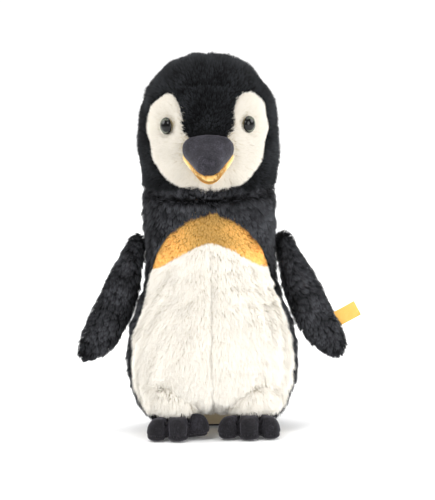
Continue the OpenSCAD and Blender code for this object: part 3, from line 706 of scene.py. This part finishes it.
# One tuft is a narrow bent blade of three triangles. Blades lean with the comb, and their tips gather into locks.
def growPile(name, roots, facing, comb, pile, seed, material, scale=None):
    rng = np.random.default_rng(seed)
    n = len(roots)
    along = unit(comb - facing * (comb * facing).sum(axis=1, keepdims=True))
    stray = wander(roots, pile["swirl"], seed) * pile["stray"]
    along = unit(along + stray + rng.normal(size=(n, 3)) * pile["loose"])
    along = unit(along - facing * (along * facing).sum(axis=1, keepdims=True))
    drift, over = tuft["drift"]
    length = pile["length"] * rng.uniform(*tuft["lengths"], n) * (1 + drift * wander(roots, over, seed + 1, 1)[:, 0])
    if scale is not None:
        length = length * scale
    low = unit(facing * (pile["lift"] + tuft["rootLift"]) + along * pile["lean"] * tuft["leans"][0])
    high = unit(facing * pile["lift"] + along * pile["lean"] * tuft["leans"][1])
    base = roots - facing * tuft["sunk"]
    middle = roots + low * (length * 0.5)[:, None]
    tip = middle + high * (length * 0.5)[:, None]
    # locks: tips lean to the tip of a nearby leader
    locks = max(1, int(n * pile["locks"]))
    leaders = rng.choice(n, size=locks, replace=False)
    near = KDTree(locks)
    for k, i in enumerate(leaders):
        near.insert(roots[i], k)
    near.balance()
    mine = leaders[[near.find(p)[1] for p in roots]]
    pull = pile["gather"] * rng.uniform(*tuft["lockPull"], n)[:, None]
    lead = np.linalg.norm(roots[mine] - roots, axis=1, keepdims=True)
    pull = pull * np.exp(-(lead / tuft["lockReach"]) ** 2)
    tip = tip + (tip[mine] - tip) * pull
    middle = middle + (middle[mine] - middle) * pull * tuft["middlePull"]
    for part, lowest in zip((base, middle, tip), tuft["ground"]):
        part[:, 2] = np.maximum(part[:, 2], lowest)
    width = pile["width"] * rng.uniform(*tuft["widths"], n)[:, None]
    side = unit(np.cross(tip - base, facing) + rng.normal(size=(n, 3)) * 0.15 * (length[:, None]))
    half = side * width * tuft["middleWidth"]
    points = np.stack([base - side * width / 2, base + side * width / 2, middle - half, middle + half, tip], axis=1)
    blade = unit(np.cross(side, tip - base))
    soft = unit(facing * 0.90 + blade * 0.30 + unit(tip - base) * 0.10 + rng.normal(size=(n, 3)) * 0.10)
    normals = np.repeat(soft[:, None, :], 5, axis=1)
    toneWander, toneOver, own, lockOwn = tuft["shades"]
    chance = np.clip(0.5 + toneWander * wander(roots, toneOver, seed + 2, 1)[:, 0] + own * (rng.random(n) - 0.5)
                     + lockOwn * (rng.random(locks)[np.searchsorted(np.sort(leaders), mine)] - 0.5), 0.02, 0.98)
    rise = np.array([0.02, 0.02, 0.5, 0.5, 0.98])

    first = np.arange(n) * 5
    quad = np.stack([first, first + 1, first + 3, first + 2], axis=1)
    point = np.stack([first + 2, first + 3, first + 4], axis=1)
    loops = np.concatenate([quad, point], axis=1).ravel().astype(np.int32)
    mesh = bpy.data.meshes.new(name)
    mesh.vertices.add(n * 5)
    mesh.vertices.foreach_set("co", points.ravel())
    mesh.loops.add(len(loops))
    mesh.loops.foreach_set("vertex_index", loops)
    mesh.polygons.add(n * 2)
    starts = np.stack([np.arange(n) * 7, np.arange(n) * 7 + 4], axis=1).ravel().astype(np.int32)
    mesh.polygons.foreach_set("loop_start", starts)
    mesh.polygons.foreach_set("use_smooth", np.ones(n * 2, dtype=bool))
    mesh.update(calc_edges=True)
    order = np.array([0, 1, 3, 2, 2, 3, 4])
    uv = np.stack([np.repeat(chance, 7), np.tile(rise[order], n)], axis=1).ravel()
    for layer in ("pile", "OFBake"):
        mesh.uv_layers.new(name=layer).data.foreach_set("uv", uv)
    mesh.normals_split_custom_set_from_vertices(normals.reshape(-1, 3).astype(np.float32))
    obj = bpy.data.objects.new(name, mesh)
    scene.collection.objects.link(obj)
    mesh.materials.append(material)
    return obj


longPile = {"length": 8.0 * mm, "atSeam": 0.95, "width": 0.50 * mm, "lift": 0.62, "lean": 0.75,
            "swirl": 26 * mm, "stray": 0.28, "loose": 0.22, "locks": 0.02, "gather": 0.55}
bellyPile = dict(longPile, atSeam=0.6, width=0.44 * mm, lean=0.70, stray=0.14, loose=0.18,
                 locks=0.03, gather=0.28)
flipperPile = dict(longPile, length=6.6 * mm, lift=0.5)
headPile = dict(longPile, length=6.4 * mm, width=0.42 * mm, lift=0.85, lean=0.42, locks=0.05,
                gather=0.5, atSeam=0.88)
facePile = dict(longPile, length=5.8 * mm, width=0.38 * mm, lift=0.65, lean=0.65, locks=0.04,
                gather=0.35, atSeam=0.6)
bibPile = dict(longPile, length=3.4 * mm, width=0.38 * mm, lift=0.8, lean=0.5, locks=0.04, gather=0.4)
lipPile = dict(longPile, length=2.2 * mm, width=0.36 * mm, lift=0.7, lean=0.7, locks=0.08, gather=0.4)
thin = 1.0
coverage = {   # tufts on each square millimetre
    "chest_panel": 5.0, "bib": 9.0, "belly_left": 5.6, "belly_right": 5.6, "back_left": 3.1, "back_right": 3.1,
    "head_cap_left": 4.6, "head_cap_right": 4.6, "forehead_panel": 6.5, "face_left": 8.0, "face_right": 8.0,
}
plainCoverage = 4.5     # on every panel not named above
pruning = {
    "panelJitter": 0.7 * mm,               # a seam is never a clean line
    "seamReach": 3.5 * mm,
    "least": 0.02,
    "neckHole": 41 * mm,                   # no pile within it, where the neck is covered
    "neckBand": (3 * mm, 12 * mm),         # from below the neck's edge to above it
    "eyePile": 0.34,                       # share of the length at the eye's rim
    "eyeReach": (6.5 * mm, 12 * mm),
    "eyeHole": 5.2 * mm,
    "eyeBehind": 10 * mm,
    "beakPile": 0.25,
    "beakReach": (0.5 * mm, 6 * mm),
    "beakHole": 0.6 * mm,
}

beakLow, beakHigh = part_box("beak_upper")
beakMiddle = np.array((beakLow + beakHigh) / 2) + np.array((0, 8 * mm, 2 * mm))
down = np.array((0.0, 0.0, -1.0))
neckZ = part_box("chest_panel")[1].z
axisY = joints["head_nod"]["pos_m"][1]


def fromAxis(points):
    return np.hypot(points[:, 0], points[:, 1] - axisY)


def downComb(points):
    return np.tile(down, (len(points), 1))


# Down over the body, and outwards and up at the neck's edge, so that no gap shows under the head
def bodyComb(points):
    edge = smooth(neckZ - 6 * mm, neckZ + 1 * mm, points[:, 2])[:, None]
    outwards = unit((points - (0, axisY, 0)) * (1, 1, 0)) + (0, 0, 0.35)
    return down * (1 - edge) + outwards * edge


# Away from the beak over the face and the crown, and down the back of the head
def headComb(points):
    away = unit(points - beakMiddle)
    behind = smooth(-0.03, 0.02, points[:, 1])[:, None]
    hem = 1 - smooth(neckZ + 4 * mm, neckZ + 20 * mm, points[:, 2])[:, None]
    return away * (1 - behind) + down * behind + down * (0.15 + 1.1 * hem)


# Shorter pile round the eyes and against the beak
def nearEyes(points):
    out = np.ones(len(points))
    for base, axis in eyePlaces.values():
        rel = points - base
        across = np.linalg.norm(rel - (rel @ axis)[:, None] * axis, axis=1)
        here = (rel @ axis) > -pruning["eyeBehind"]
        grown = pruning["eyePile"] + (1 - pruning["eyePile"]) * smooth(*pruning["eyeReach"], across)
        out = np.where(here, out * grown, out)
        out = np.where(here & (across < pruning["eyeHole"]), 0, out)
    return out


def nearBeak(points):
    bvh = panelTree(("beak_upper", "beak_lower"))[0]
    away = np.array([bvh.find_nearest(p)[3] for p in points])
    grown = pruning["beakPile"] + (1 - pruning["beakPile"]) * smooth(*pruning["beakReach"], away)
    return np.where(away < pruning["beakHole"], 0, grown)


def coverInPile(skin, near, names, comb, piles, materials, body, seed, shorten=None):
    most = max(coverage.get(n, plainCoverage) for n in names)
    roots, facing, seam = scatter(skin, most * thin, seed, near)
    rng = np.random.default_rng(seed + 7)
    owner = nearestPanel(roots + rng.normal(size=roots.shape) * pruning["panelJitter"], names)
    chance = rng.random(len(roots))
    made = []
    for k, name in enumerate(names):
        if piles[k] is None:
            continue
        mine = (owner == k) & (chance < coverage.get(name, plainCoverage) / most)
        below, above = pruning["neckBand"]
        pastEdge = (roots[:, 2] < neckZ - below) | (roots[:, 2] > neckZ + above)
        mine &= (fromAxis(roots) > pruning["neckHole"]) | pastEdge
        p, f = roots[mine], facing[mine]
        scale = piles[k]["atSeam"] + (1 - piles[k]["atSeam"]) * smooth(0, pruning["seamReach"], seam[mine])
        if shorten is not None:
            scale = scale * shorten(p)
        keep = scale > pruning["least"]
        p, f, scale = p[keep], f[keep], scale[keep]
        obj = growPile(name + "_pile", p, f, comb(p), piles[k], seed + k, materials[k], scale)
        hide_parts(name)
        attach(obj, body)
        made.append(obj)
        print(obj.name, len(p), "tufts")
    return made


made = coverInPile(bodySkin, bodyNear, bodyForm["panels"], bodyComb,
                   [longPile, bibPile, bellyPile, bellyPile, longPile, longPile, None, None],
                   [blackPlush, bibPlush, whitePlush, whitePlush, blackPlush, blackPlush, None, None], "torso", 11)
made += coverInPile(headSkin, headNear, headForm["panels"], headComb,
                    [headPile, headPile, headPile, facePile, facePile],
                    [shadedHeadPlush, shadedHeadPlush, shadedHeadPlush, shadedFacePlush, shadedFacePlush], "head", 31,
                    lambda p: nearEyes(p) * nearBeak(p))


def flipperComb(side):
    low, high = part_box("flipper_front_" + side)
    hang = Vector(low + high) / 2
    shoulder = Vector(joints["swing_" + side]["pos_m"])
    way = np.array((hang - shoulder).normalized())
    return lambda points: np.tile(way, (len(points), 1))


for seed, side in ((51, "left"), (61, "right")):
    skin, near, names = flipperSkins[side]
    made += coverInPile(skin, near, names, flipperComb(side), [flipperPile, flipperPile], [blackPlush, blackPlush],
                        "flipper_" + side, seed)
    roots, facing = scatter(legSkins[side], 5.0 * thin, seed + 3)
    outside = (facing[:, 2] > -0.75) & (np.abs(roots[:, 0]) > 3 * mm)
    obj = growPile("leg_pile_" + side, roots[outside], facing[outside], downComb(roots[outside]),
                   dict(bellyPile, length=7.0 * mm), seed + 4, whitePlush)
    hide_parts("leg_" + side)
    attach(obj, "torso")

# A short black pile in a ring on the neck's dome, which shows only when the head moves
domeRing = {"inside": 25 * mm, "outside": 43 * mm, "under": 1 * mm}
roots, facing = scatter(bodySkin, 3.0 * thin, 71)
away = fromAxis(roots)
dome = (roots[:, 2] > neckZ - domeRing["under"]) & (away <= domeRing["outside"]) & (away > domeRing["inside"])
neckPile = growPile("neck_pile", roots[dome], facing[dome], unit(roots[dome] * (1, 1, 0) + 1e-6),
                    dict(longPile, length=3.0 * mm, lift=0.5), 72, blackPlush)
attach(neckPile, "torso")

roots, facing = scatter(lipSkin, 14.0 * thin, 81)
front = facing[:, 1] < 0.5
lip = growPile("beak_lip_pile", roots[front], facing[front], unit(roots[front] - beakMiddle),
               lipPile, 82, goldPlush)
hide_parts("beak_lower")
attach(lip, "head")
print("pile")

for skin, body, stands, fill, slot in [
        (bodySkin, "torso", ["crotch_gusset", "seat_panel", "body_stuffing"], 0.8, "beige_fabric"),
        (headSkin, "head", ["head_stuffing"], 0.9, "black_plush"),
        (flipperSkins["left"][0], "flipper_left", ["flipper_stuffing_left"], 0.7, "black_plush"),
        (flipperSkins["right"][0], "flipper_right", ["flipper_stuffing_right"], 0.7, "black_plush"),
        (legSkins["left"], "torso", [], 0.7, "white_plush"), (legSkins["right"], "torso", [], 0.7, "white_plush"),
        (beakSkin, "head", ["beak_upper", "beak_stuffing"], 0.9, "black_velour"),
        (lipSkin, "head", [], 0.8, "gold_plush")]:
    if stands:
        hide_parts(*stands)
    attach(skin, body)


# Ladder stitches along each sole seam
stitch = {
    "length": 1.7 * mm,
    "thick": 0.42 * mm,
    "seamBand": 0.9 * mm,    # how near the seam a point of the foot lies to carry a stitch
    "pace": (0.8, 0.35),     # shortest step as a share of the usual one, and what chance adds
    "lean": 0.7,
    "uneven": 0.5 * mm,
    "proud": 0.05 * mm,
}
# Twisted cotton, waxed: a dull line. Its twist is too fine to show and is drawn every 1.9 mm along each axis.
thread = patternMaterial("waxed_cotton_thread", "ShaderNodeTexWave", {"bands_direction": "DIAGONAL"},
                         {"Scale": 1 / (3 * mm)}, [(0.0, "#0C0B0D"), (1.0, "#2A282C")], 0.6)


def sewSole(side):
    skin, seamZ = footSkins[side]
    rng = np.random.default_rng(91 if side == "left" else 92)
    points, normals = readPoints(skin.data), readNormals(skin.data)
    ring = np.abs(points[:, 2] - seamZ) < stitch["seamBand"]
    p, nrm = points[ring], normals[ring]
    middle = (p.min(axis=0) + p.max(axis=0)) / 2
    angle = np.arctan2(p[:, 1] - middle[1], p[:, 0] - middle[0])
    order = np.argsort(angle)
    p, nrm = p[order], nrm[order]
    # walk round the seam and keep a place every few millimetres
    places, last = [], p[0]
    shortest, extra = stitch["pace"]
    for i in range(len(p)):
        if np.linalg.norm((p[i] - last)[:2]) >= feet["stitchEvery"] * (shortest + extra * rng.random()):
            places.append(i)
            last = p[i]
    bpy.ops.object.select_all(action="DESELECT")
    bpy.ops.mesh.primitive_uv_sphere_add(segments=6, ring_count=4, radius=0.5)
    first = bpy.context.object
    shape = readPoints(first.data) * (stitch["thick"], stitch["thick"], stitch["length"])
    copies = []
    for i in places:
        out = Vector(nrm[i]).normalized()
        lean = (rng.random() - 0.5) * stitch["lean"]
        upward = Vector((lean * -out.y, lean * out.x, 1)).normalized()
        right = upward.cross(out).normalized()
        turned = Matrix((right, out, upward)).transposed()
        copy = first.copy()
        copy.data = first.data.copy()
        scene.collection.objects.link(copy)
        height = seamZ + (rng.random() - 0.5) * stitch["uneven"]
        at = np.array((p[i][0], p[i][1], height)) + np.array(out) * stitch["proud"]
        writePoints(copy.data, shape @ np.array(turned).T + at)
        copies.append(copy)
    bpy.data.objects.remove(first)
    only(*copies)
    bpy.ops.object.join()
    bpy.ops.object.shade_smooth()
    row = bpy.context.object
    row.name = "sole_stitches_" + side
    row.data.materials.clear()
    row.data.materials.append(thread)
    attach(row, "foot_" + side)


for side in ("left", "right"):
    sewSole(side)
print("stitches")


# The woven tag, folded and sewn into the flipper's edge, left blank
tag = {
    "width": 12 * mm,
    "reach": 17.6 * mm,
    "gap": 0.9 * mm,
    "thick": 0.3 * mm,
    "curl": 1.6 * mm,
    "curlShares": (0.6, 0.4),    # of the curl: all across, and more at one edge
    "wave": (0.3, 3.1),          # the wave along it: its height as a share of the curl, and its turn
    "ribs": 0.62,                # wave scale for bands 0.5 mm apart on a map in mm
}
hinge = joints["tag_flap"]
start = np.array(hinge["pos_m"])
up = unit(np.array(hinge["axis"]))
acrossTag = np.array((0.0, 1.0, 0.0))
outward = np.cross(acrossTag, up)
outward = outward if outward[0] > 0 else -outward
bpy.ops.object.select_all(action="DESELECT")
bpy.ops.mesh.primitive_grid_add(x_subdivisions=40, y_subdivisions=10, size=1)
ribbon = bpy.context.object
ribbon.name = "tag_ribbon"
flat = readPoints(ribbon.data)
legLength = tag["reach"]
bend = math.pi * tag["gap"] / 2
total = 2 * legLength + bend
s = (flat[:, 0] + 0.5) * total
w = flat[:, 1] * tag["width"]
half = tag["gap"] / 2
arc = np.clip((s - legLength) / half, 0, math.pi)
first, second = s < legLength, s > legLength + bend
x = np.where(first, s, np.where(second, total - s, legLength + half * np.sin(arc)))
y = np.where(first, -half, np.where(second, half, -half * np.cos(arc)))
level, skew = tag["curlShares"]
height, turn = tag["wave"]
y = y + tag["curl"] * ((x / legLength) ** 2) * (level + skew * w / tag["width"] * 2)
y = y - tag["curl"] * height * np.sin(x / legLength * turn)
writePoints(ribbon.data, start + np.outer(x, outward) + np.outer(y, acrossTag) + np.outer(w, up))
uvLayer = ribbon.data.uv_layers.new(name="ribbon")
loopVertex = np.empty(len(ribbon.data.loops), dtype=np.int32)
ribbon.data.loops.foreach_get("vertex_index", loopVertex)
uvLayer.data.foreach_set("uv", np.stack([s[loopVertex] / mm, w[loopVertex] / mm], axis=1).ravel())
solid = ribbon.modifiers.new("thickness", "SOLIDIFY")
solid.thickness = tag["thick"]
solid.offset = 0
only(ribbon)
bpy.ops.object.modifier_apply(modifier=solid.name)
bpy.ops.object.shade_smooth_by_angle(angle=math.radians(40))

# Woven polyester ribbon: close ribs 0.5 mm apart across the length, a slight satin light
tagRibbon, tree = newMaterial("woven_satin_ribbon")
uv = addNode(tree, "ShaderNodeUVMap", {"uv_map": "ribbon"})
ribs, warp = (addNode(tree, "ShaderNodeTexWave", {"bands_direction": axis}, {
    "Vector": uv.outputs["UV"], "Scale": tag["ribs"], "Distortion": 0.4}) for axis in ("X", "Y"))
woven = addNode(tree, "ShaderNodeMath", {"operation": "MULTIPLY"}, {0: ribs.outputs["Fac"], 1: warp.outputs["Fac"]})
cloudy = addNode(tree, "ShaderNodeTexNoise", None, {"Vector": uv.outputs["UV"], "Scale": 0.2, "Detail": 2.0})
both = addNode(tree, "ShaderNodeMath", {"operation": "MULTIPLY_ADD"}, {
    0: cloudy.outputs["Fac"], 1: 0.5, 2: woven.outputs["Value"]})
tone = addNode(tree, "ShaderNodeValToRGB", None, {"Fac": both.outputs["Value"]})
setRamp(tone, [(0.1, srgb("#D99C34")), (1.2, srgb("#F2C066"))])
bump = addNode(tree, "ShaderNodeBump", None, {
    "Height": woven.outputs["Value"], "Strength": 0.4, "Distance": 0.1 * mm})
finishShader(tree, addNode(tree, "ShaderNodeBsdfPrincipled", None, {
    "Base Color": tone.outputs["Color"], "Roughness": 0.45, "Normal": bump.outputs["Normal"]}))
ribbon.data.materials.clear()
ribbon.data.materials.append(tagRibbon)
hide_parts("woven_tag")
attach(ribbon, "tag")
print("tag")


# What stays inside: fill, washers and the pellet bag keep their CAD shapes

# Siliconised polyester fibre: white and cloudy
fibre = patternMaterial("polyester_fibre", "ShaderNodeTexNoise", None,
                        {"Scale": 1 / (4 * mm), "Detail": 5.0}, [(0.3, "#E2E2E0"), (0.7, "#FAFAF8")], 0.95)

# Plain woven cotton, unbleached: threads 0.5 mm apart, too fine to show, drawn as bands every 1.9 mm
cotton = patternMaterial("unbleached_cotton", "ShaderNodeTexWave", {"bands_direction": "DIAGONAL"},
                         {"Scale": 1 / (3 * mm)}, [(0.0, "#C9BC9E"), (1.0, "#E4DAC2")], 0.9)

# Moulded polypropylene, natural white, faintly milky
washer = patternMaterial("moulded_polypropylene", "ShaderNodeTexNoise", None,
                         {"Scale": 1 / (3 * mm), "Detail": 2.0}, [(0.3, "#DCDCD8"), (0.7, "#ECECE8")], 0.5)

inside = {
    "eye_washer_left": washer, "eye_washer_right": washer, "neck_stuffing": fibre,
    "shoulder_wadding_left": fibre, "shoulder_wadding_right": fibre, "pellet_bag": cotton, "pellets": washer,
}
for name, material in inside.items():
    nodes[name].data.materials.clear()
    nodes[name].data.materials.append(material)
print("inside")
